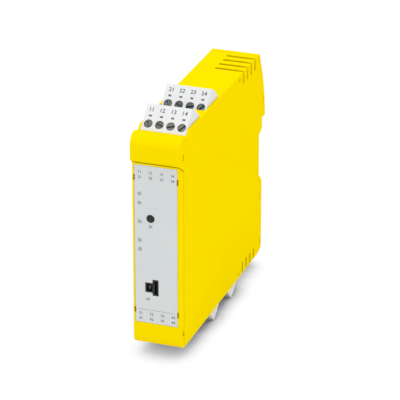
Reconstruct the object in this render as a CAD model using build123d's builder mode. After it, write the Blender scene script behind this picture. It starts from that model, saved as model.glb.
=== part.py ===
from build123d import *
from math import cos, pi, sin, sqrt
import os

# Safety relay module for a 35 mm top-hat rail, in millimetres.
# Origin: centre of the rail seat. +Y points from the front to the rail, +Z up, X across the module.
# Everything is drawn about the middle of the height, and moved up to the rail's centre when saved.
os.makedirs("parts", exist_ok=True)

# Housing
housing_width = 22.5
housing_height = 99.0
nose_to_seat = 110.4
wall = 1.0
edge_round = 0.35
nose_overhang = 1.4
nose_radius = 5.1
nose_crown_drop = 0.5
nose_lip_drop = 11.6
nose_corner_bevel = 0.35
lip_slope = 0.8
front_foot_radius = 5.0
lip_dip = 2.2

# Front cover and label
cover_depth = 4.0
cover_bevel = 0.75
cover_gap = 0.35
cover_wall = 1.3
tongue_wall = 0.9
tongue_reach = 2.4
label_inset = 1.5
label_top_drop = 13.9
label_foot_rise = 11.3
label_thickness = 0.5
label_sink = 0.1
label_play = 0.12
notch_height = 2.9
notch_width = 0.9
notch_depth = 2.0
notch_upper_drop = 6.0
notch_lower_rise = 5.8

# Snap windows in the flanks
oval_length = 2.7
oval_width = 1.2
oval_lean = 70.0
oval_setback = 0.7
oval_upper_drop = 9.6
oval_lower_rise = 7.2
window_height = 2.8
window_width = 1.3
window_depth = 0.6
window_top_drop = 2.1
window_knee_rise = 6.6
window_rail_drop = 3.4
window_foot_rise = 6.0

# Vent slots
vent_count = 4
vent_width = 1.9
vent_pitch = 5.3
vent_rear_y = -11.0
vent_start_x = -2.1
vent_drop = 5.6
small_vent_height = 1.9
small_vent_inset = 1.2

# Rail seat, hook and latch
rail_width = 35.0
rail_hat_width = 27.0
rail_play = 0.3
rail_drop = 0.8
flange_slot = 1.25
rear_reach = 4.1
top_setback = 4.5
knee_rise = 1.8
rear_bulge = 1.5
band = 2.3
band_gap = 0.12
recess_depth = 4.3
upper_pad_height = 4.4
lower_pad_start = 4.5
recess_upper_ramp = 2.4
recess_lower_ramp = 4.3
rear_foot_rise = 2.2
foot_bevel = 2.5
foot_bevel_rise = 1.3
foot_run = 8.3
hook_inset = 3.25
hook_reach = 3.6
hook_tip = 1.35
hook_back = 3.65
latch_play = 0.2
latch_nose_back = 3.4
latch_nose_tip = 0.4
latch_nose_height = 8.4
latch_thickness = 1.9
latch_foot_rise = 1.7
latch_block_margin = 1.2
latch_shoulder = 0.8
latch_block_depth = 4.2
latch_block_drop = 3.0
latch_window_margin = 2.5
latch_window_height = 3.0
spring_diameter = 3.6
spring_wire = 0.5
spring_turns = 4
spring_length = 9.0
shelf_rise = 7.9
coil_steps = 10

# Pluggable terminals
pole_count = 4
plug_inset = 1.15
plug_end_margin = 0.1
plug_rise = 6.6
tier_pitch = 24.0
top_apex_y = -90.9
bottom_apex_y = -63.2
plug_front = 8.7
plug_knee_run = 3.8
plug_knee_drop = 2.0
plug_rear = 9.0
plug_rear_drop = 6.9
plug_depth = 12.0
plug_play = 0.12
screw_up_face = 3.2
screw_well_wall = 1.1
screw_head_play = 0.2
screw_head_height = 1.8
screw_shank_diameter = 2.5
screw_shank_length = 5.4
screw_shank_sides = 8
screw_head_sides = 20
screw_well_sides = 24
screw_sink = 0.6
screw_slot_width = 0.7
screw_slot_depth = 0.8
screw_turns = (35.0, 70.0, 105.0, 140.0)
probe_up_face = 6.9
probe_width = 1.5
probe_height = 0.9
probe_depth = 3.0
pole_wall = 1.0
cage_size = 4.2
cage_depth = 8.2
cage_wall = 0.5
pin_size = 1.0
contact_wall = 0.4
contact_play = 0.15
contact_length = 4.5
contact_setback = 2.5
header_wall = 1.0
header_floor = 2.0
header_side_height = 5.0
pin_tail_drop = 1.4
pin_tail_pitch = 1.7

# Boards and the parts they carry
board_thickness = 1.6
board_play = 0.3
front_board_thickness = 1.2
front_board_y = -102.0
front_board_drop = 20.5
front_board_rise = 15.5
relay_width = 13.0
relay_play = 1.0
relay_length = 40.0
relay_first_y = -59.4
relay_pitch = 16.0
transformer_width = 13.0
transformer_play = 2.0
transformer_length = 18.0
component_y = -22.4
transformer_z = 14.0
capacitor_diameter = 10.0
capacitor_play = 3.5
capacitor_z = -10.0
chip_size = 10.0
chip_thickness = 0.9
chip_y = -75.4
chip_z = 12.0
link_width = 3.0
link_length = 24.0
link_y = -93.4

# Front controls
button_inset = 8.8
button_drop = 24.4
button_diameter = 3.4
button_play = 0.15
button_proud = 0.4
button_flange = 0.8
switch_plunger_seat = 0.4
switch_size = 6.0
switch_height = 3.4
plunger_diameter = 2.8
port_inset = 6.3
port_rise = 17.0
port_block_width = 3.6
port_block_height = 4.3
port_bar_width = 2.2
port_bar_height = 7.3
port_bar_rise = 0.2
port_wall = 0.6
port_depth = 4.5
port_play = 0.15
port_tongue_width = 0.8
port_tongue_height = 1.4
led_inset = 3.85
led_drops = (13.3, 17.6, 26.3, 34.9, 39.2)
led_diameter = 1.5
led_play = 0.12
led_web = 0.9
rod_sides = 12
led_height = 0.8

# Places that follow from the sizes above
half_width = housing_width / 2
half_height = housing_height / 2
inner_half = half_width - wall
nose_y = -nose_to_seat
front_y = nose_y + nose_overhang
foot_start_y = front_y + front_foot_radius
parting_y = front_y + cover_depth
crown_z = half_height - nose_crown_drop
well_lip_z = half_height - lip_dip
recess_y = front_y + label_thickness + label_sink
cover_inside_y = recess_y + cover_wall - label_thickness
label_front_y = recess_y - label_thickness
rail_top = rail_width / 2 - rail_drop
rail_bottom = -rail_width / 2 - rail_drop
knee_height = rail_top + rail_play + knee_rise
upper_pad_end = rail_top - upper_pad_height
lower_pad_end = rail_bottom + lower_pad_start
recess_top = upper_pad_end - recess_upper_ramp
recess_bottom = lower_pad_end + recess_lower_ramp
rear_foot_z = -half_height + rear_foot_rise
latch_foot_z = -half_height + latch_foot_rise
flange_width = (rail_width - rail_hat_width) / 2
side_plane = Plane.YZ.offset(-half_width)
label_width = housing_width - 2 * label_inset
label_top = half_height - label_top_drop
label_bottom = -half_height + label_foot_rise
notch_heights = (label_top - notch_upper_drop, label_bottom + notch_lower_rise)
button_x = -half_width + button_inset
button_z = label_top - button_drop
port_x = -half_width + port_inset
port_z = label_bottom + port_rise
led_x = -half_width + led_inset
led_heights = [label_top - drop for drop in led_drops]
plug_width = housing_width - 2 * plug_inset
pole_pitch = (plug_width - 2 * plug_end_margin) / pole_count
screw_well_diameter = pole_pitch - screw_well_wall
screw_head_diameter = screw_well_diameter - 2 * screw_head_play
cage_width = pole_pitch - pole_wall
wire_hole = cage_width - 2 * cage_wall
pole_places = [(pole - (pole_count - 1) / 2) * pole_pitch for pole in range(pole_count)]
well_lip_y = top_apex_y - plug_front
nose_lip_height = half_height - nose_lip_drop
lip_foot_z = nose_lip_height - lip_slope * (parting_y - nose_y)
board_x = pole_places[-1] + pin_size / 2
relay_height = 2 * board_x - relay_play
transformer_height = 2 * board_x - transformer_play
capacitor_height = 2 * board_x - capacitor_play
latch_block_width = 2 * (board_x - latch_block_margin)
latch_width = latch_block_width - 2 * latch_shoulder
latch_window_width = latch_width - 2 * latch_window_margin
hook_width = housing_width - 2 * hook_inset
window_places = (
    (-top_setback - band / 4, half_height - window_top_drop),
    (rear_reach - band, knee_height + window_knee_rise),
    (-band, rail_bottom - window_rail_drop),
    (-band, -half_height + window_foot_rise),
)


def box_between(low, high, mode=Mode.ADD):
    """One block from its lowest to its highest corner."""
    middle = [(a + b) / 2 for a, b in zip(low, high)]
    with Locations(tuple(middle)):
        Box(high[0] - low[0], high[1] - low[1], high[2] - low[2], mode=mode)


def body_outline():
    """The whole module in side view, with the nose over the front and the rail seat at the rear."""
    with BuildLine() as outline:
        CenterArc((nose_y + nose_radius, crown_z - nose_radius), nose_radius, 90, 90)
        Polyline(
            (nose_y + nose_radius, crown_z),
            (well_lip_y, well_lip_z),
            (well_lip_y + lip_dip, half_height),
            (-top_setback, half_height),
        )
        SagittaArc((-top_setback, half_height), (rear_reach, knee_height), rear_bulge)
        Polyline(
            (rear_reach, knee_height),
            (rear_reach, rail_top + rail_play),
            (0, rail_top + rail_play),
            (0, upper_pad_end),
            (-recess_depth, recess_top),
            (-recess_depth, recess_bottom),
            (0, lower_pad_end),
            (0, rear_foot_z),
            (-foot_bevel, rear_foot_z - foot_bevel_rise),
            (-foot_run, -half_height),
            (foot_start_y, -half_height),
        )
        CenterArc((foot_start_y, -half_height + front_foot_radius), front_foot_radius, 180, 90)
        Polyline(
            (front_y, -half_height + front_foot_radius),
            (front_y, nose_lip_height - lip_slope * nose_overhang),
            (nose_y, nose_lip_height),
            (nose_y, crown_z - nose_radius),
        )
    make_face(outline.line.edges())


def rear_region(gap, mode):
    """The part of the side view that belongs to the rear cover, set back by a gap at its seam."""
    inset = band - gap
    step_z = rail_top + rail_play + inset
    with BuildLine() as region:
        SagittaArc((-top_setback - inset, half_height), (rear_reach - inset, step_z), rear_bulge)
        Polyline(
            (rear_reach - inset, step_z),
            (-inset, step_z),
            (-inset, upper_pad_end + inset / 2),
            (-recess_depth - inset, recess_top + inset / 2),
            (-recess_depth - inset, recess_bottom - inset / 2),
            (-inset, lower_pad_end - inset / 2),
            (-inset, -housing_height),
            (2 * rear_reach, -housing_height),
            (2 * rear_reach, half_height + wall),
            (-top_setback - inset, half_height + wall),
            (-top_setback - inset, half_height),
        )
    make_face(region.line.edges(), mode=mode)


def cover_region(gap, mode):
    """The part of the side view that belongs to the front cover, lowered by a gap under the nose lip."""
    with BuildLine() as region:
        Polyline(
            (parting_y - gap, -housing_height),
            (parting_y - gap, lip_foot_z - gap),
            (nose_y, nose_lip_height - gap),
            (nose_y - cover_depth, nose_lip_height - gap),
            (nose_y - cover_depth, -housing_height),
            close=True,
        )
    make_face(region.line.edges(), mode=mode)


def bevel_region(corner, start_y):
    """The plan view: sides that draw in from the cover's rear edge to the front corners."""
    with BuildSketch(Plane.XY.offset(-housing_height)) as region:
        with BuildLine():
            Polyline(
                (-half_width, 2 * rear_reach),
                (-half_width, parting_y),
                (-half_width + corner, start_y),
                (half_width - corner, start_y),
                (half_width, parting_y),
                (half_width, 2 * rear_reach),
                close=True,
            )
        make_face()
    extrude(region.sketch, amount=2 * housing_height, mode=Mode.INTERSECT)


def round_flanks(part):
    """Softens the long straight outer edges along the top and the bottom of a moulding."""
    levels = part.edges().filter_by(Axis.Y).group_by(Axis.Z)
    fillet(levels[0] + levels[-1], edge_round)


def oval_windows(height):
    """Small slanted oval windows through both flanks."""
    with BuildSketch(side_plane) as oval:
        with Locations((parting_y - oval_setback, height)):
            SlotOverall(oval_length, oval_width, rotation=oval_lean)
    extrude(oval.sketch, amount=housing_width, mode=Mode.SUBTRACT)


def snap_windows(places):
    """Shallow snap windows in both flanks at the rear edge."""
    for y, z in places:
        for side in (-1, 1):
            low = min(side * half_width, side * (half_width - window_depth))
            box_between(
                (low, y - window_width / 2, z - window_height / 2),
                (low + window_depth, y + window_width / 2, z + window_height / 2),
                mode=Mode.SUBTRACT,
            )


# Housing shell: one moulded sleeve with both sides, the top, the bottom and the nose.
with BuildPart() as housing_shell:
    with BuildSketch(side_plane):
        body_outline()
        cover_region(0, Mode.SUBTRACT)
        rear_region(0, Mode.SUBTRACT)
    extrude(amount=housing_width)
    bevel_region(nose_corner_bevel, nose_y)
    round_flanks(housing_shell)
    with BuildSketch(Plane.YZ.offset(-inner_half)):
        with BuildLine():
            CenterArc((nose_y + nose_radius, well_lip_z - nose_radius), nose_radius - wall, 90, 90)
            Polyline(
                (nose_y + nose_radius, well_lip_z - wall),
                (well_lip_y + 2 * lip_dip, well_lip_z - wall),
                (well_lip_y + 2 * lip_dip, half_height - wall),
                (rear_reach, half_height - wall),
                (rear_reach, rear_foot_z),
                (-foot_run, -half_height + wall),
                (parting_y - cover_depth, -half_height + wall),
                (parting_y - cover_depth, lip_foot_z - wall),
                (parting_y + wall, lip_foot_z - wall),
                (parting_y + wall, lip_foot_z + wall),
                (nose_y + wall, nose_lip_height + wall),
                (nose_y + wall, well_lip_z - nose_radius),
            )
        make_face()
    extrude(amount=2 * inner_half, mode=Mode.SUBTRACT)
    for first_apex, side in ((top_apex_y, 1), (bottom_apex_y, -1)):
        for apex in (first_apex, first_apex + tier_pitch):
            ends = sorted((side * (half_height - lip_dip - 2 * wall), side * (half_height + wall)))
            box_between(
                (-plug_width / 2 - plug_play, apex - plug_front - plug_play, ends[0]),
                (plug_width / 2 + plug_play, apex + plug_rear + plug_play, ends[1]),
                mode=Mode.SUBTRACT,
            )
    for index in range(vent_count):
        middle = vent_rear_y - index * vent_pitch
        for side in (-1, 1):
            ends = sorted((side * (half_height - vent_drop), side * (half_height + wall)))
            box_between(
                (vent_start_x, middle - vent_width / 2, ends[0]),
                (half_width + wall, middle + vent_width / 2, ends[1]),
                mode=Mode.SUBTRACT,
            )
    for side in (-1, 1):
        middle = vent_rear_y - vent_count * vent_pitch
        small_vent_top = half_height - small_vent_inset
        ends = sorted((side * (small_vent_top - small_vent_height), side * small_vent_top))
        box_between(
            (inner_half - wall, middle - vent_width / 3, ends[0]),
            (half_width + wall, middle + vent_width / 3, ends[1]),
            mode=Mode.SUBTRACT,
        )
    oval_windows(half_height - oval_upper_drop)
    snap_windows(window_places)
housing_shell.part.label = "housing_shell"


def port_outline(margin):
    """The service socket's keyed outline: a block with a taller bar beside it."""
    with Locations((port_x + port_block_width / 2, port_z)):
        Rectangle(port_block_width + 2 * margin, port_block_height + 2 * margin)
    with Locations((port_x + port_block_width + port_bar_width / 2 - margin, port_z + port_bar_rise)):
        Rectangle(port_bar_width + 4 * margin, port_bar_height + 2 * margin)


def front_plane(y):
    """A sketch plane at depth y whose local axes are X and Z and whose normal points to the front."""
    return Plane(origin=(0, y, 0), x_dir=(1, 0, 0), z_dir=(0, -1, 0))


def front_holes(y, depth):
    """The holes for the button, the socket and the light guide, cut towards the front from depth y."""
    with BuildSketch(front_plane(y)) as holes:
        with Locations((button_x, button_z)):
            Circle(button_diameter / 2 + button_play)
        port_outline(port_play)
        with Locations(*[(led_x, z) for z in led_heights]):
            RegularPolygon(led_diameter / 2 + led_play, rod_sides)
    extrude(holes.sketch, amount=depth, mode=Mode.SUBTRACT)


# Front cover: a shallow moulded cap with bevelled flanks, a rounded foot and the label's recess.
with BuildPart() as front_cover:
    with BuildSketch(side_plane):
        body_outline()
        cover_region(cover_gap, Mode.INTERSECT)
    extrude(amount=housing_width)
    bevel_region(cover_bevel, front_y)
    with BuildSketch(Plane.YZ.offset(-inner_half)):
        with BuildLine():
            Polyline(
                (parting_y + wall, -half_height + wall + tongue_wall / 2),
                (parting_y + wall, lip_foot_z - cover_gap - wall),
                (cover_inside_y, lip_foot_z - cover_gap - wall),
                (cover_inside_y, -half_height + wall + tongue_wall / 2 + cover_depth / 2),
                (cover_inside_y + cover_depth / 3, -half_height + wall + tongue_wall / 2),
                close=True,
            )
        make_face()
    extrude(amount=2 * inner_half, mode=Mode.SUBTRACT)
    tongue_half = inner_half - label_play
    tongue_top = lip_foot_z - cover_gap - wall
    for side in (-1, 1):
        ends = sorted((side * tongue_half, side * (tongue_half - tongue_wall)))
        box_between(
            (ends[0], cover_inside_y - wall / 2, -half_height + 2 * front_foot_radius),
            (ends[1], parting_y + tongue_reach, tongue_top),
        )
        ends = sorted((side * inner_half, side * (tongue_half - tongue_wall)))
        box_between(
            (ends[0], cover_inside_y - wall / 2, -half_height + 2 * front_foot_radius),
            (ends[1], parting_y - cover_gap, tongue_top),
        )
    with BuildSketch(front_plane(recess_y)):
        with Locations((0, (label_top + label_bottom) / 2)):
            Rectangle(label_width, label_top - label_bottom)
    extrude(amount=nose_overhang + cover_depth, mode=Mode.SUBTRACT)
    with BuildSketch(front_plane(front_y + notch_depth)):
        for height in notch_heights:
            with Locations((-label_width / 2, height), (label_width / 2, height)):
                Rectangle(notch_width, notch_height)
    extrude(amount=notch_depth + nose_overhang, mode=Mode.SUBTRACT)
    front_holes(parting_y, cover_depth + nose_overhang)
    oval_windows(-half_height + oval_lower_rise)
front_cover.part.label = "front_cover"

# Label plate: a thin stiff plate pressed into the recess, open over the button, socket and lights.
with BuildPart() as label_plate:
    with BuildSketch(front_plane(recess_y)):
        with Locations((0, (label_top + label_bottom) / 2)):
            Rectangle(label_width - 2 * label_play, label_top - label_bottom - 2 * label_play)
        for height in notch_heights:
            with Locations((-label_width / 2, height), (label_width / 2, height)):
                Rectangle(notch_width, notch_height, mode=Mode.SUBTRACT)
    extrude(amount=label_thickness)
    front_holes(recess_y, label_thickness)
label_plate.part.label = "label_plate"

# Rear cover: the full-width rear wall with the rail pads, the fixed hook and the latch's channel.
hook_base_z = rail_top + rail_play
latch_top_z = rail_bottom + flange_width - rail_play
latch_body_top = rail_bottom - rail_play
latch_back_y = -latch_play - latch_thickness
block_y = -band - latch_play
block_top = latch_body_top - latch_block_drop
shelf_top = -half_height + shelf_rise
block_bottom = shelf_top + spring_length
spring_y = block_y - latch_block_depth / 2
with BuildPart() as rear_cover:
    with BuildSketch(side_plane):
        body_outline()
        rear_region(band_gap, Mode.INTERSECT)
    extrude(amount=housing_width)
    round_flanks(rear_cover)
    with BuildSketch(Plane.YZ.offset(-hook_width / 2)):
        with BuildLine():
            Polyline(
                (flange_slot, hook_base_z + band / 2),
                (flange_slot, hook_base_z - hook_reach),
                (flange_slot + hook_tip, hook_base_z - hook_reach),
                (hook_back, hook_base_z - hook_reach / 2),
                (rear_reach, hook_base_z),
                (rear_reach, hook_base_z + band / 2),
                close=True,
            )
        make_face()
    extrude(amount=hook_width)
    box_between(
        (-latch_block_width / 2 - wall, block_y - latch_block_depth - wall, shelf_top - 2 * wall),
        (latch_block_width / 2 + wall, -band / 2, shelf_top),
    )
    box_between(
        (-latch_width / 2 - latch_play, block_y, -half_height - wall),
        (latch_width / 2 + latch_play, rear_reach, latch_body_top + latch_play),
        mode=Mode.SUBTRACT,
    )
    snap_windows(window_places)
rear_cover.part.label = "rear_cover"

# Foot latch: the sprung slide under the rail, with a ramped jaw, a guide block and a pull window.
with BuildPart() as foot_latch:
    with BuildSketch(Plane.YZ.offset(-latch_width / 2)):
        with BuildLine():
            Polyline(
                (flange_slot, latch_top_z),
                (flange_slot + latch_nose_tip, latch_top_z),
                (latch_nose_back, latch_top_z - latch_nose_back + flange_slot + latch_nose_tip),
                (latch_nose_back, latch_top_z - latch_nose_height),
                (-latch_play, latch_top_z - latch_nose_height - latch_nose_back - latch_play),
                (-latch_play, latch_foot_z),
                (latch_back_y, latch_foot_z),
                (latch_back_y, latch_body_top),
                (flange_slot, latch_body_top),
                close=True,
            )
        make_face()
    extrude(amount=latch_width)
    box_between(
        (-latch_width / 2, block_y, block_bottom), (latch_width / 2, latch_back_y, block_top)
    )
    box_between(
        (-latch_block_width / 2, block_y - latch_block_depth, block_bottom),
        (latch_block_width / 2, block_y, block_top),
    )
    window_z = latch_foot_z + latch_window_height + wall
    box_between(
        (-latch_window_width / 2, latch_back_y - wall, window_z - latch_window_height / 2),
        (latch_window_width / 2, rear_reach, window_z + latch_window_height / 2),
        mode=Mode.SUBTRACT,
    )
foot_latch.part.label = "foot_latch"

# Latch spring: a small coil between the guide block and the shelf of the rear cover.
coil_radius = (spring_diameter - spring_wire) / 2
coil_rise = (spring_length - spring_wire) / (spring_turns * coil_steps)
coil_points = [
    (
        coil_radius * cos(2 * pi * step / coil_steps),
        spring_y + coil_radius * sin(2 * pi * step / coil_steps),
        shelf_top + spring_wire / 2 + step * coil_rise,
    )
    for step in range(spring_turns * coil_steps + 1)
]
with BuildPart() as latch_spring:
    with BuildLine() as coil:
        Polyline(coil_points)
    with BuildSketch(Plane(origin=coil_points[0], z_dir=coil.line % 0)):
        RegularPolygon(spring_wire / 2, 6)
    sweep(transition=Transition.RIGHT)
latch_spring.part.label = "latch_spring"

# Button: a round cap with a retaining flange behind the cover.
button_front_y = label_front_y - button_proud
button_back_y = cover_inside_y + button_flange
with BuildPart() as reset_button:
    with BuildSketch(front_plane(button_back_y)):
        with Locations((button_x, button_z)):
            Circle(button_diameter / 2)
    extrude(amount=button_back_y - button_front_y)
    chamfer(reset_button.faces().sort_by(Axis.Y)[0].edges(), edge_round)
    with BuildSketch(front_plane(button_back_y)):
        with Locations((button_x, button_z)):
            Circle(button_diameter / 2 + button_flange)
    extrude(amount=button_flange)
reset_button.part.label = "reset_button"

# Push switch under the button, a sealed body with its own plunger.
switch_face_y = front_board_y - switch_height
with BuildPart() as push_switch:
    with BuildSketch(front_plane(front_board_y)):
        with Locations((button_x, button_z)):
            Rectangle(switch_size, switch_size)
    extrude(amount=switch_height)
    with BuildSketch(front_plane(front_board_y - switch_height / 2)):
        with Locations((button_x, button_z)):
            Circle(plunger_diameter / 2 + button_play)
    extrude(amount=switch_height, mode=Mode.SUBTRACT)
push_switch.part.label = "push_switch"

with BuildPart() as switch_plunger:
    with BuildSketch(front_plane(switch_face_y + switch_plunger_seat)):
        with Locations((button_x, button_z)):
            Circle(plunger_diameter / 2)
    extrude(amount=switch_face_y + switch_plunger_seat - button_back_y)
switch_plunger.part.label = "switch_plunger"

# Service socket: a keyed moulding on the front board with a contact tongue in its mouth.
port_front_y = label_front_y - label_sink / 2
port_floor_y = port_front_y + port_depth
with BuildPart() as service_port:
    with BuildSketch(front_plane(front_board_y)):
        port_outline(0)
    extrude(amount=front_board_y - port_front_y)
    with BuildSketch(front_plane(port_floor_y)):
        with Locations((port_x + port_block_width / 2, port_z)):
            Rectangle(port_block_width - 2 * port_wall, port_block_height - 2 * port_wall)
        with Locations((port_x + port_block_width + port_bar_width / 2, port_z + port_bar_rise)):
            Rectangle(port_bar_width - 2 * port_wall, port_bar_height - 2 * port_wall)
    extrude(amount=port_depth, mode=Mode.SUBTRACT)
service_port.part.label = "service_port"

with BuildPart() as port_contacts:
    with BuildSketch(front_plane(port_floor_y)):
        with Locations((port_x + port_block_width / 2, port_z)):
            Rectangle(port_tongue_width, port_tongue_height)
    extrude(amount=port_depth - port_wall)
port_contacts.part.label = "port_contacts"

# Light guide: five clear rods on a web behind the cover, over five lamps on the front board.
lamp_face_y = front_board_y - led_height
with BuildPart() as light_guide:
    with BuildSketch(front_plane(lamp_face_y)):
        with Locations(*[(led_x, z) for z in led_heights]):
            RegularPolygon(led_diameter / 2, rod_sides)
    extrude(amount=lamp_face_y - label_front_y)
    box_between(
        (led_x - led_diameter, cover_inside_y, led_heights[-1] - led_diameter),
        (led_x + led_diameter, cover_inside_y + led_web, led_heights[0] + led_diameter),
    )
light_guide.part.label = "light_guide"

with BuildPart() as status_lamps:
    for z in led_heights:
        box_between(
            (led_x - led_diameter / 2, lamp_face_y, z - led_diameter / 2),
            (led_x + led_diameter / 2, front_board_y, z + led_diameter / 2),
        )
status_lamps.part.label = "status_lamps"

# Circuit boards: one along each side of the module and one behind the front.
header_low = plug_depth + header_floor
header_zone_front = plug_front + plug_play + header_wall + board_play
header_zone_rear = plug_rear + plug_play + header_wall + board_play
board_front_y = front_board_y + front_board_thickness
board_rear_y = -top_setback - band - board_play


def side_board(low_x):
    """A board that fills the side view, notched where the plugs and their headers sit."""
    edge = half_height - wall - board_play
    box_between((low_x, board_front_y, -edge), (low_x + board_thickness, board_rear_y, edge))
    for first_apex, side in ((top_apex_y, 1), (bottom_apex_y, -1)):
        ends = sorted((side * (half_height - header_low - board_play), side * half_height))
        front_end = first_apex - header_zone_front
        if side > 0:
            front_end = board_front_y - wall
        box_between(
            (low_x, front_end, ends[0]),
            (low_x + board_thickness, first_apex + tier_pitch + header_zone_rear, ends[1]),
            mode=Mode.SUBTRACT,
        )


with BuildPart() as main_board:
    side_board(-board_x - board_thickness)
main_board.part.label = "main_board"

with BuildPart() as logic_board:
    side_board(board_x)
logic_board.part.label = "logic_board"

with BuildPart() as front_board:
    box_between(
        (-tongue_half + tongue_wall + board_play, front_board_y, -half_height + front_board_rise),
        (tongue_half - tongue_wall - board_play, board_front_y, half_height - front_board_drop),
    )
front_board.part.label = "front_board"

# Board link: the plug strip that joins the two side boards behind the front board.
with BuildPart() as board_link:
    box_between((-board_x, link_y, -link_length / 2), (board_x, link_y + link_width, link_length / 2))
board_link.part.label = "board_link"

# Two sealed force-guided relays on the main board.
relays = []
for index, name in enumerate(("safety_relay_a", "safety_relay_b")):
    with BuildPart() as relay:
        middle = relay_first_y + index * relay_pitch
        box_between(
            (-board_x, middle - relay_width / 2, -relay_length / 2),
            (-board_x + relay_height, middle + relay_width / 2, relay_length / 2),
        )
        chamfer(relay.faces().sort_by(Axis.X)[-1].edges(), edge_round)
    relay.part.label = name
    relays.append(relay.part)

# Supply parts: the transformer block and the round capacitor, both on the main board.
with BuildPart() as supply_transformer:
    with Locations((-board_x, component_y, transformer_z)):
        Box(
            transformer_height,
            transformer_width,
            transformer_length,
            align=(Align.MIN, Align.CENTER, Align.CENTER),
        )
    chamfer(supply_transformer.edges().filter_by(Axis.X), wall)
supply_transformer.part.label = "supply_transformer"

with BuildPart() as supply_capacitor:
    with BuildSketch(Plane.YZ.offset(-board_x)):
        with Locations((component_y, capacitor_z)):
            Circle(capacitor_diameter / 2)
    extrude(amount=capacitor_height)
supply_capacitor.part.label = "supply_capacitor"

# Controller chips: two of the same, one for each safety channel, on the logic board.
with BuildPart() as controller_chips:
    for z in (-chip_z, chip_z):
        box_between(
            (board_x - chip_thickness, chip_y - chip_size / 2, z - chip_size / 2),
            (board_x, chip_y + chip_size / 2, z + chip_size / 2),
        )
controller_chips.part.label = "controller_chips"


# Terminal plug: a wedge-topped block, screws in its front slope and wires into its rear slope.
# Every place below is for a plug on top of the housing; a plug underneath is its mirror image.
slope = 1 / sqrt(2)
apex_z = half_height + plug_rise
plug_floor_z = half_height - plug_depth
face_foot_z = apex_z - plug_front


def slope_point(apex, up_face, inward):
    """A point up the 45 degree front face from its foot, and inward square to it, as (y, z)."""
    y = apex - plug_front + (up_face + inward) * slope
    z = face_foot_z + (up_face - inward) * slope
    return y, z


def screw_plane(apex, x, inward):
    """A plane square to a terminal screw, at a depth below the front face, looking outward."""
    y, z = slope_point(apex, screw_up_face, inward)
    return Plane(origin=(x, y, z), x_dir=(1, 0, 0), z_dir=(0, -1, 1))


def wire_plane(apex, x, back):
    """A plane square to a wire, at a distance back from the screw's axis, looking outward."""
    y, z = slope_point(apex, screw_up_face + back, cage_depth)
    return Plane(origin=(x, y, z), x_dir=(1, 0, 0), z_dir=(0, 1, 1))


def make_plug(apex):
    """The plug's moulded body with its screw wells, probe holes, wire mouths and cage rooms."""
    contact_half = pin_size / 2 + contact_play + contact_wall
    room = plug_play
    middle = apex + contact_setback
    with BuildPart() as body:
        with BuildSketch(Plane.YZ.offset(-plug_width / 2)):
            with BuildLine():
                Polyline(
                    (apex - plug_front, plug_floor_z),
                    (apex - plug_front, face_foot_z),
                    (apex, apex_z),
                    (apex + plug_knee_run, apex_z - plug_knee_drop),
                    (apex + plug_rear, apex_z - plug_rear_drop),
                    (apex + plug_rear, plug_floor_z),
                    close=True,
                )
            make_face()
        extrude(amount=plug_width)
        ridge = body.edges().filter_by(Axis.X).group_by(Axis.Z)[-1]
        fillet(ridge, edge_round)
        for x in pole_places:
            with BuildSketch(screw_plane(apex, x, cage_depth)):
                RegularPolygon(screw_well_diameter / 2, screw_well_sides)
            extrude(amount=2 * cage_depth, mode=Mode.SUBTRACT)
            y, z = slope_point(apex, probe_up_face, probe_depth)
            with BuildSketch(Plane(origin=(x, y, z), x_dir=(1, 0, 0), z_dir=(0, -1, 1))):
                Rectangle(probe_width, probe_height)
            extrude(amount=2 * probe_depth, mode=Mode.SUBTRACT)
            with BuildSketch(wire_plane(apex, x, -cage_size / 2 - room)):
                Rectangle(cage_width + 2 * room, cage_size + 2 * room)
            extrude(amount=cage_size + 2 * room, mode=Mode.SUBTRACT)
            with BuildSketch(wire_plane(apex, x, 0)):
                Rectangle(wire_hole, wire_hole)
            extrude(amount=3 * cage_size, mode=Mode.SUBTRACT)
            box_between(
                (x - contact_half - room, middle - contact_half - room, plug_floor_z - wall),
                (x + contact_half + room, middle + contact_half + room, plug_floor_z + contact_length + room),
                mode=Mode.SUBTRACT,
            )
    return body.part


def make_screws(apex):
    """Four slotted clamping screws."""
    with BuildPart() as screws:
        for x, turn in zip(pole_places, screw_turns):
            head = screw_sink + screw_head_height
            with BuildSketch(screw_plane(apex, x, head + screw_shank_length)):
                RegularPolygon(screw_shank_diameter / 2, screw_shank_sides)
            extrude(amount=screw_shank_length)
            with BuildSketch(screw_plane(apex, x, head)):
                RegularPolygon(screw_head_diameter / 2, screw_head_sides)
            extrude(amount=screw_head_height)
            with BuildSketch(screw_plane(apex, x, screw_sink + screw_slot_depth)):
                Rectangle(screw_slot_width, 2 * screw_head_diameter, rotation=turn)
            extrude(amount=screw_slot_depth, mode=Mode.SUBTRACT)
    return screws.part


def make_cages(apex):
    """Four clamp cages: square rings that the screws draw up against the wires."""
    with BuildPart() as cages:
        for x in pole_places:
            with BuildSketch(wire_plane(apex, x, -cage_size / 2)):
                Rectangle(cage_width, cage_size)
                Rectangle(wire_hole, wire_hole, mode=Mode.SUBTRACT)
            extrude(amount=cage_size)
            with BuildSketch(screw_plane(apex, x, cage_depth)):
                RegularPolygon(screw_shank_diameter / 2 + plug_play, screw_shank_sides)
            extrude(amount=cage_size, mode=Mode.SUBTRACT)
    return cages.part


def make_contacts(apex):
    """Four socket contacts that slip over the header's pins."""
    bore = pin_size / 2 + contact_play
    outer = bore + contact_wall
    middle = apex + contact_setback
    with BuildPart() as contacts:
        for x in pole_places:
            box_between(
                (x - outer, middle - outer, plug_floor_z + contact_wall),
                (x + outer, middle + outer, plug_floor_z + contact_length),
            )
            box_between(
                (x - bore, middle - bore, plug_floor_z),
                (x + bore, middle + bore, plug_floor_z + contact_length - contact_wall),
                mode=Mode.SUBTRACT,
            )
    return contacts.part


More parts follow.
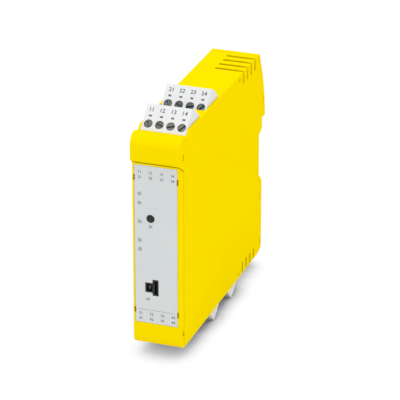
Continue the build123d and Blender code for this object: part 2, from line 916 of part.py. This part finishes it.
def make_header(apex):
    """The moulded trough under a plug, open above and at both sides, with four holes for its pins."""
    low = plug_floor_z - header_floor
    front = apex - plug_front - plug_play - header_wall
    rear = apex + plug_rear + plug_play + header_wall
    middle = apex + contact_setback
    with BuildPart() as header:
        box_between((-plug_width / 2, front, low), (plug_width / 2, rear, plug_floor_z))
        for start in (front, rear - header_wall):
            box_between(
                (-plug_width / 2, start, plug_floor_z),
                (plug_width / 2, start + header_wall, plug_floor_z + header_side_height),
            )
        for x in pole_places:
            box_between(
                (x - pin_size / 2, middle - pin_size / 2, low),
                (x + pin_size / 2, middle + pin_size / 2, plug_floor_z),
                mode=Mode.SUBTRACT,
            )
    return header.part


def make_pins(apex):
    """Four square pins; each turns under the header and runs to the main board at its own height."""
    low = plug_floor_z - header_floor
    top = plug_floor_z + contact_length - 2 * contact_wall
    middle = apex + contact_setback
    with BuildPart() as pins:
        for index, x in enumerate(pole_places):
            tail = low - pin_tail_drop - index * pin_tail_pitch
            right = x + pin_size / 2
            front = middle - pin_size / 2
            rear = middle + pin_size / 2
            box_between((right - pin_size, front, tail), (right, rear, top))
            box_between((-board_x, front, tail), (right, rear, tail + pin_size))
    return pins.part


makers = (
    ("plug_{}", make_plug),
    ("plug_{}_screws", make_screws),
    ("plug_{}_cages", make_cages),
    ("plug_{}_contacts", make_contacts),
    ("header_{}", make_header),
    ("header_{}_pins", make_pins),
)
places = (
    ("top_front", top_apex_y, False),
    ("top_rear", top_apex_y + tier_pitch, False),
    ("bottom_front", bottom_apex_y, True),
    ("bottom_rear", bottom_apex_y + tier_pitch, True),
)
terminals = []
for place, apex, underneath in places:
    for pattern, maker in makers:
        piece = maker(apex)
        if underneath:
            piece = mirror(piece, about=Plane.XY)
        piece.label = pattern.format(place)
        terminals.append(piece)

single_pieces = [
    builder.part
    for builder in (
        housing_shell,
        front_cover,
        label_plate,
        rear_cover,
        foot_latch,
        latch_spring,
        reset_button,
        push_switch,
        switch_plunger,
        service_port,
        port_contacts,
        light_guide,
        status_lamps,
        main_board,
        logic_board,
        front_board,
        board_link,
        supply_transformer,
        supply_capacitor,
        controller_chips,
    )
]
for piece in single_pieces + relays + terminals:
    saved = piece.moved(Location((0, 0, rail_drop)))
    saved.label = piece.label
    export_step(saved, f"parts/{piece.label}.step")
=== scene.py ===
import math
import bpy
import numpy as np
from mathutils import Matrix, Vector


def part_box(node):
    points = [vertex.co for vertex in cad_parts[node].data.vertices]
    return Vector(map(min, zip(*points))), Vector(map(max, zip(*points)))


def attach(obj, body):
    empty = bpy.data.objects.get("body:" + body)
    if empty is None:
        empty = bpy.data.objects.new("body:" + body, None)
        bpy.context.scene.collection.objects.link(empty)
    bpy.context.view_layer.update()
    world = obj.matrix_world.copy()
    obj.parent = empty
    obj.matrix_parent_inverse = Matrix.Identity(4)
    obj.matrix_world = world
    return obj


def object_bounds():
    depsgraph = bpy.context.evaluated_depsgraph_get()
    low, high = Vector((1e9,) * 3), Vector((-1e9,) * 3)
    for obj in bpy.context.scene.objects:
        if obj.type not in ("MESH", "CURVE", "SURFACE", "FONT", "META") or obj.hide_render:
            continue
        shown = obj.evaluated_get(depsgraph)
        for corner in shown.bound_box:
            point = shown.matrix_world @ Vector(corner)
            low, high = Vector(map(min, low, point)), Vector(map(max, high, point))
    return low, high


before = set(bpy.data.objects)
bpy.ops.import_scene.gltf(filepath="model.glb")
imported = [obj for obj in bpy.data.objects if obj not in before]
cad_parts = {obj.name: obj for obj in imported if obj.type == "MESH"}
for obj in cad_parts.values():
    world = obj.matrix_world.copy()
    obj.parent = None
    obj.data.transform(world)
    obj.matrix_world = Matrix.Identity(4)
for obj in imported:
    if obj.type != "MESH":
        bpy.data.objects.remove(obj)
cad_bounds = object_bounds()

# Housing.
# The shell, the front cover, the rear cover and the foot latch are injection moulded in one signal yellow
# plastic and snap together. A fine spark-eroded grain makes their faces look even and matt in soft light.
MM = 0.001
DRIFT_WAVES = 45.0
PATCH_WAVES = 260.0
GRAIN_WAVES = 9000.0
GRAIN_DEPTH = 0.03 * MM


class Tone:
    """An output of a finish's node tree. Plain arithmetic on it adds Math nodes to the same tree."""

    def __init__(self, tree, socket=None):
        self.tree = tree
        self.socket = socket

    def node(self, kind, settings, sockets, output=0):
        """Adds a node of this kind and gives one of its outputs.

        The settings are set first, then each socket gets its value or its link.
        """
        made = self.tree.nodes.new(kind)
        for name, value in settings.items():
            setattr(made, name, value)
        for place, value in sockets.items():
            if isinstance(value, Tone):
                self.tree.links.new(value.socket, made.inputs[place])
            elif isinstance(value, tuple):
                made.inputs[place].default_value = (*value, 1.0)
            else:
                made.inputs[place].default_value = value
        return Tone(self.tree, made.outputs[output] if len(made.outputs) else None)

    def calculate(self, operation, first, second):
        """One Math node that takes first and second in this order."""
        return self.node("ShaderNodeMath", {"operation": operation}, {0: first, 1: second})

    def __add__(self, other):
        return self.calculate("ADD", self, other)

    def __radd__(self, other):
        return self.calculate("ADD", other, self)

    def __sub__(self, other):
        return self.calculate("SUBTRACT", self, other)

    def __rsub__(self, other):
        return self.calculate("SUBTRACT", other, self)

    def __mul__(self, other):
        return self.calculate("MULTIPLY", self, other)

    def __rmul__(self, other):
        return self.calculate("MULTIPLY", other, self)

    def step(self, low, high, start=0.0, end=1.0):
        """start below low, end above high, and a smooth step between them."""
        levels = {"Value": self, "From Min": low, "From Max": high, "To Min": start, "To Max": end}
        return self.node("ShaderNodeMapRange", {"interpolation_type": "SMOOTHSTEP"}, levels, "Result")

    def mix(self, first, second):
        """The colour first where this tone is 0, second where it is 1, and a blend between them."""
        return self.node("ShaderNodeMix", {"data_type": "RGBA"}, {0: self, 6: first, 7: second}, 2)

    def noise(self, waves, detail):
        """Smooth noise from 0 to 1 over the piece, with this many waves per metre."""
        place = self.node("ShaderNodeTexCoord", {}, {}, "Object")
        sockets = {"Vector": place, "Scale": waves, "Detail": detail, "Roughness": 0.5}
        return self.node("ShaderNodeTexNoise", {}, sockets, "Fac")


def empty_finish(name):
    """A material with an empty node tree, and a tone without a socket that adds nodes to that tree."""
    material = bpy.data.materials.new(name)
    material.use_nodes = True
    material.node_tree.nodes.clear()
    return material, Tone(material.node_tree)


def finish(name, colour, shade, roughness, grain=0.0, metallic=0.0, specular=0.3, patch=0.06):
    """A colour that drifts between two close tones, with a patchy roughness and, where given, a fine grain.

    The roughness is its middle value plus or minus half a patch, by the noise.
    """
    material, nodes = empty_finish(name)
    sockets = {
        "Base Color": nodes.noise(DRIFT_WAVES, 3.0).step(0.3, 0.7).mix(colour, shade),
        "Roughness": nodes.noise(PATCH_WAVES, 4.0) * patch + (roughness - patch / 2),
        "Metallic": metallic,
        "Specular IOR Level": specular,
    }
    if grain:
        height = nodes.noise(GRAIN_WAVES, 2.0)
        bump = {"Strength": grain, "Distance": GRAIN_DEPTH, "Height": height}
        sockets["Normal"] = nodes.node("ShaderNodeBump", {}, bump)
    body = nodes.node("ShaderNodeBsdfPrincipled", {}, sockets)
    nodes.node("ShaderNodeOutputMaterial", {}, {"Surface": body})
    return material


def paint(material, *nodes):
    """Gives CAD nodes this one material."""
    for name in nodes:
        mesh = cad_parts[name].data
        mesh.materials.clear()
        mesh.materials.append(material)


yellow = finish("signal_yellow", (0.96, 0.735, 0.0), (0.95, 0.715, 0.0), 0.48, grain=0.25, specular=0.0)
paint(yellow, "housing_shell", "front_cover", "rear_cover", "foot_latch")

# Label plate.
# A thin light grey plastic plate, pressed into the front cover's recess and printed with plain numbers and
# one rule. The print is flat ink, so each mark is a thin outline just clear of the plate.
HOUSING_WIDTH = 22.5 * MM
HOUSING_HEIGHT = 99.0 * MM
HOUSING_MIDDLE = 0.8 * MM
HOUSING_FOOT = HOUSING_MIDDLE - HOUSING_HEIGHT / 2
INK_LIFT = 0.02 * MM
DIGIT_SHARE = 0.73
STROKE_WEIGHT = 0.02
POLES = 4
UPPER_LINES = (81.9 * MM, 79.5 * MM)
LOWER_LINES = (15.7 * MM, 13.3 * MM)
FIRST_COLUMN = 4.0 * MM
COLUMN_STEP = 4.95 * MM
LINE_NUMBER_HEIGHT = 1.25 * MM
CONTROL_NUMBER_HEIGHT = 1.2 * MM
BUTTON_NUMBER_PLACE = (8.8 * MM, 57.1 * MM)
SOCKET_NUMBER_PLACE = (7.5 * MM, 22.8 * MM)
RULE_LENGTH = 16.6 * MM
RULE_WEIGHT = 0.12 * MM
RULE_RISE = 17.6 * MM

label_grey = finish("label_grey", (0.66, 0.695, 0.7), (0.645, 0.68, 0.69), 0.42, grain=0.08, specular=0.2)
paint(label_grey, "label_plate")
ink = finish("print_ink", (0.13, 0.14, 0.16), (0.11, 0.12, 0.14), 0.5, specular=0.2)


def number_shape(text, height, weight=STROKE_WEIGHT):
    """Points about their own centre, in metres, and triangles of a plain number this high.

    Each stroke's edges are set out by weight times the height.
    """
    curve = bpy.data.curves.new("mark", "FONT")
    curve.body = text
    curve.size = height / DIGIT_SHARE
    curve.resolution_u = 3
    curve.offset = weight * height
    holder = bpy.data.objects.new("mark", curve)
    bpy.context.scene.collection.objects.link(holder)
    bpy.context.view_layer.update()
    mesh = bpy.data.meshes.new_from_object(holder.evaluated_get(bpy.context.evaluated_depsgraph_get()))
    mesh.calc_loop_triangles()
    points = np.empty(len(mesh.vertices) * 3)
    mesh.vertices.foreach_get("co", points)
    triangles = np.empty(len(mesh.loop_triangles) * 3, dtype=np.int64)
    mesh.loop_triangles.foreach_get("vertices", triangles)
    points = points.reshape(-1, 3)[:, :2]
    points = points - (points.min(axis=0) + points.max(axis=0)) / 2
    bpy.data.objects.remove(holder)
    bpy.data.meshes.remove(mesh)
    bpy.data.curves.remove(curve)
    return points, triangles.reshape(-1, 3)


def rectangle_shape(width, height):
    """Points about their centre and triangles of a rectangle: its four corners lie half its sizes away."""
    points = np.array([[-width, -height], [width, -height], [width, height], [-width, height]]) / 2
    return points, np.array([[0, 1, 2], [0, 2, 3]])


def flat_piece(name, vertices, faces, material):
    """A mesh object from vertex and face arrays, with one material."""
    mesh = bpy.data.meshes.new(name)
    mesh.from_pydata(np.asarray(vertices).tolist(), [], np.asarray(faces).tolist())
    mesh.materials.append(material)
    made = bpy.data.objects.new(name, mesh)
    bpy.context.scene.collection.objects.link(made)
    return made


def print_piece(name, marks, origin, across, up, body):
    """One flat piece of print from marks of (shape, u, v), riding on a body.

    A point (a, b) of a mark lies at the origin plus a + u along across plus b + v along up.
    """
    origin, across, up = (np.array(v, dtype=float) for v in (origin, across, up))
    vertices, faces, count = [], [], 0
    for (points, triangles), u, v in marks:
        vertices.append(origin + (points[:, :1] + u) * across + (points[:, 1:] + v) * up)
        faces.append(triangles + count)
        count += len(points)
    made = flat_piece(name, np.concatenate(vertices), np.concatenate(faces), ink)
    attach(made, body)


def label_place(across, rise):
    """A place on the label from its distances to the housing's left side and foot."""
    return across - HOUSING_WIDTH / 2, rise + HOUSING_FOOT


label_marks = []
for line, rise in enumerate(UPPER_LINES + LOWER_LINES, start=1):
    for column in range(POLES):
        number = number_shape(str(10 * line + column + 1), LINE_NUMBER_HEIGHT)
        label_marks.append((number, *label_place(FIRST_COLUMN + COLUMN_STEP * column, rise)))
for text, place in (("50", BUTTON_NUMBER_PLACE), ("60", SOCKET_NUMBER_PLACE)):
    label_marks.append((number_shape(text, CONTROL_NUMBER_HEIGHT), *label_place(*place)))
label_marks.append((rectangle_shape(RULE_LENGTH, RULE_WEIGHT), *label_place(HOUSING_WIDTH / 2, RULE_RISE)))
label_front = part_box("label_plate")[0][1]
label_origin = (0.0, label_front - INK_LIFT, 0.0)
print_piece("label_print", label_marks, label_origin, (1.0, 0.0, 0.0), (0.0, 0.0, 1.0), "housing")

# Front controls.
# The reset button, its switch and the keyed service socket are moulded in black plastic. The light guide is
# one clear moulding in front of the pale lamps, and the socket's contacts are gold plated, their colour
# darkened with painted shade from inside the socket.
black = finish("black_plastic", (0.012, 0.012, 0.013), (0.018, 0.018, 0.019), 0.45, grain=0.15)
pale = finish("pale_plastic", (0.7, 0.7, 0.67), (0.66, 0.66, 0.63), 0.4)
clear = finish("clear_rods", (0.42, 0.45, 0.46), (0.38, 0.41, 0.42), 0.2, specular=0.5)
# Painted shade: the contacts' gold is coloured far darker than plating, for the shade inside the service
# socket.
gold_with_painted_shade = finish("gold_plate_painted_shade", (0.16, 0.14, 0.1), (0.12, 0.105, 0.08), 0.45, metallic=0.6)
paint(black, "reset_button", "service_port", "push_switch")
paint(pale, "switch_plunger", "status_lamps")
paint(clear, "light_guide")
paint(gold_with_painted_shade, "port_contacts")

# Plugs.
# Four pluggable terminal blocks in a cool light grey plastic, each with four zinc-plated clamping screws and
# cages and tin-plated contacts. The zinc's colour is darkened with painted shade from deep in the screw
# wells.
# A number stands above each screw on the front slope, which is at 45 degrees.
PLUG_TIP_RISE = 6.6 * MM
PLUG_SLOPE_RISE = 8.7 * MM
POLE_STEP = 5.0 * MM
PLUG_NUMBER_HEIGHT = 1.9 * MM
PLUG_NUMBER_WEIGHT = 0.025
PLUG_NUMBER_CLIMB = 9.8 * MM
SLOPE = math.sqrt(0.5)

plug_grey = finish("plug_grey", (0.76, 0.775, 0.8), (0.74, 0.755, 0.785), 0.46, grain=0.12, specular=0.2)
header_grey = finish("header_grey", (0.5, 0.51, 0.54), (0.47, 0.48, 0.51), 0.5)
# Painted shade: the zinc is coloured much darker than bright plating, for the shade deep in the screw wells.
zinc_with_painted_shade = finish("zinc_plate_painted_shade", (0.17, 0.175, 0.18), (0.06, 0.065, 0.07), 0.3, metallic=0.9, patch=0.2)
tin = finish("tin_plate", (0.7, 0.68, 0.6), (0.62, 0.6, 0.52), 0.32, metallic=1.0)

for plug, place in enumerate(("top_front", "top_rear", "bottom_front", "bottom_rear"), start=1):
    paint(plug_grey, f"plug_{place}")
    paint(zinc_with_painted_shade, f"plug_{place}_screws", f"plug_{place}_cages")
    paint(tin, f"plug_{place}_contacts", f"header_{place}_pins")
    paint(header_grey, f"header_{place}")
    side = 1.0 if place.startswith("top") else -1.0
    foot_rise = HOUSING_HEIGHT / 2 + PLUG_TIP_RISE - PLUG_SLOPE_RISE
    foot = np.array([0.0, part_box(f"plug_{place}")[0][1], HOUSING_MIDDLE + side * foot_rise])
    lift = np.array([0.0, -SLOPE, side * SLOPE]) * INK_LIFT
    marks = []
    for pole in range(POLES):
        number = number_shape(f"{plug}{pole + 1}", PLUG_NUMBER_HEIGHT, PLUG_NUMBER_WEIGHT)
        marks.append((number, side * (pole - (POLES - 1) / 2) * POLE_STEP, PLUG_NUMBER_CLIMB))
    body = "plug " + place.replace("_", " ")
    up_slope = (0.0, SLOPE, side * SLOPE)
    print_piece(f"plug_{place}_numbers", marks, foot + lift, (side, 0.0, 0.0), up_slope, body)

# Inner parts.
# Green circuit boards carry the two sealed relays, the black chips, the supply's wound transformer and its
# round capacitor. With the foot latch's drawn spring they show only through the vents or with a cover off.
board_green = finish("board_green", (0.02, 0.13, 0.05), (0.016, 0.11, 0.045), 0.35)
relay_case = finish("relay_case", (0.6, 0.59, 0.53), (0.57, 0.56, 0.5), 0.35)
winding = finish("wound_core", (0.05, 0.045, 0.04), (0.07, 0.06, 0.05), 0.5)
can = finish("capacitor_can", (0.35, 0.36, 0.38), (0.3, 0.31, 0.33), 0.35, metallic=0.8)
paint(board_green, "main_board", "logic_board", "front_board")
paint(relay_case, "safety_relay_a", "safety_relay_b")
paint(winding, "supply_transformer")
paint(can, "supply_capacitor")
paint(black, "board_link", "controller_chips")
# The spring takes the same zinc, with its painted shade.
paint(zinc_with_painted_shade, "latch_spring")

# Table.
# A wide white studio table, on which the module stands on its lower plug tips. To the camera it is plain
# white, apart from a contact shadow that thins out towards the front.
TABLE_REACH = 6.0
TABLE_HEIGHT = cad_bounds[0][2]
SHADOW_REACH = 11.5 * MM
SHADOW_GREY = (0.12, 0.12, 0.14)
SHADOW_THIN_DEPTH = -120.0 * MM
SHADOW_FULL_DEPTH = -82.0 * MM
SHADOW_THIN_SHARE = 0.2
TABLE_GREY = (0.9, 0.9, 0.9)
WHITE = (1.0, 1.0, 1.0)

table_white, nodes = empty_finish("white_table")
open_share = nodes.node("ShaderNodeAmbientOcclusion", {"samples": 24}, {"Distance": SHADOW_REACH}, "AO")
place_on_table = nodes.node("ShaderNodeTexCoord", {}, {}, "Object")
depth = nodes.node("ShaderNodeSeparateXYZ", {}, {"Vector": place_on_table}, "Y")
shadow_share = depth.step(SHADOW_THIN_DEPTH, SHADOW_FULL_DEPTH, SHADOW_THIN_SHARE, 1.0)
shadow = (1.0 - open_share.step(0.26, 0.9)) * shadow_share
seen_colour = (1.0 - shadow).mix(SHADOW_GREY, WHITE)
camera_ray = nodes.node("ShaderNodeLightPath", {}, {}, "Is Camera Ray")
lit = nodes.node("ShaderNodeBsdfDiffuse", {}, {"Color": TABLE_GREY})
seen = nodes.node("ShaderNodeEmission", {}, {"Color": seen_colour})
table_surface = nodes.node("ShaderNodeMixShader", {}, {0: camera_ray, 1: lit, 2: seen})
nodes.node("ShaderNodeOutputMaterial", {}, {"Surface": table_surface})
table_points, table_triangles = rectangle_shape(2 * TABLE_REACH, 2 * TABLE_REACH)
table_corners = np.column_stack([table_points, np.full(len(table_points), TABLE_HEIGHT)])
table = flat_piece("table_top", table_corners, table_triangles, table_white)

# Lights.
# An even white dome surrounds the module and looks a little brighter to the camera than it shines. Two
# square soft panels, one overhead and one to the right, give the faces their different brightness.
DOME_STRENGTH = 0.86
DOME_SEEN_EXTRA = 0.14
AIM = (0.0, -0.05, 0.0)

world = bpy.data.worlds.new("studio")
world.use_nodes = True
world.node_tree.nodes.clear()
nodes = Tone(world.node_tree)
strength = nodes.node("ShaderNodeLightPath", {}, {}, "Is Camera Ray") * DOME_SEEN_EXTRA + DOME_STRENGTH
dome = nodes.node("ShaderNodeBackground", {}, {"Color": WHITE, "Strength": strength})
nodes.node("ShaderNodeOutputWorld", {}, {"Surface": dome})
scene = bpy.context.scene
scene.world = world
scene.view_settings.view_transform = "Standard"


def soft_panel(name, place, size, power):
    """A square soft light at place that faces the aim.

    It tilts from straight down by the angle of its aim, and turns by the aim's direction over the table.
    """
    light = bpy.data.lights.new(name, "AREA")
    light.size = size
    light.energy = power
    made = bpy.data.objects.new(name, light)
    scene.collection.objects.link(made)
    made.location = place
    x, y, z = np.array(AIM) - np.array(place)
    made.rotation_euler = (math.atan2(math.hypot(x, y), -z), 0.0, math.atan2(-x, y))


soft_panel("overhead_panel", (-0.25, -0.15, 0.9), 0.9, 3.1)
soft_panel("right_panel", (0.9, -0.5, 0.25), 0.8, 1.3)

# Camera.
# It stands in front of the module, to its right and above it, with a long lens. The focal length is given
# in pixels of a 400 pixel picture and turned into millimetres on a 36 mm sensor.
SENSOR_WIDTH = 36.0
PICTURE_WIDTH = 400.0
FOCAL_PIXELS = 2671.5
CAMERA_PLACE = (0.3593, -1.0695, 0.482)
CAMERA_PITCH = 65.8
CAMERA_TURN = 19.468

lens = bpy.data.cameras.new("camera")
lens.sensor_width = SENSOR_WIDTH
lens.lens = FOCAL_PIXELS * SENSOR_WIDTH / PICTURE_WIDTH
lens.clip_start = 0.01
lens.clip_end = 50.0
camera = bpy.data.objects.new("camera", lens)
scene.collection.objects.link(camera)
camera.location = CAMERA_PLACE
camera.rotation_euler = (math.radians(CAMERA_PITCH), 0.0, math.radians(CAMERA_TURN))
scene.camera = camera
